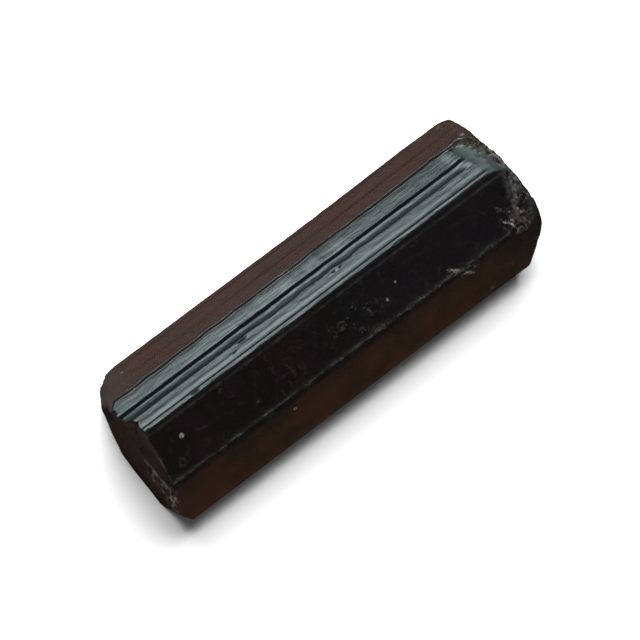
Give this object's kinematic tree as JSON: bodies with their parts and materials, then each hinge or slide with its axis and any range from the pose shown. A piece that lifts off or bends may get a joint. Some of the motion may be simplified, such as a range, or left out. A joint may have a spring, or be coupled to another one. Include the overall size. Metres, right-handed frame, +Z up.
{
  "type": "tourmaline crystal",
  "caption": "Loose dark tourmaline crystal lying on a long flat face: a lengthwise-grooved prism with a nearly square end and a bevelled, chipped end.",
  "frame": {"origin": "centre of the crystal's bounding box, at the surface it lies on", "axes": "+X along the crystal towards its bevelled end, +Z up, so -Y is the side of the steep dark brown face"},
  "size_m": [0.0344, 0.0126, 0.0092],
  "materials": {
    "tourmaline": "glossy, nearly black natural crystal faces with a brown cast, finely striated along the length"
  },
  "bodies": {
    "root": {"tourmaline_crystal": "tourmaline"}
  },
  "joints": []
}
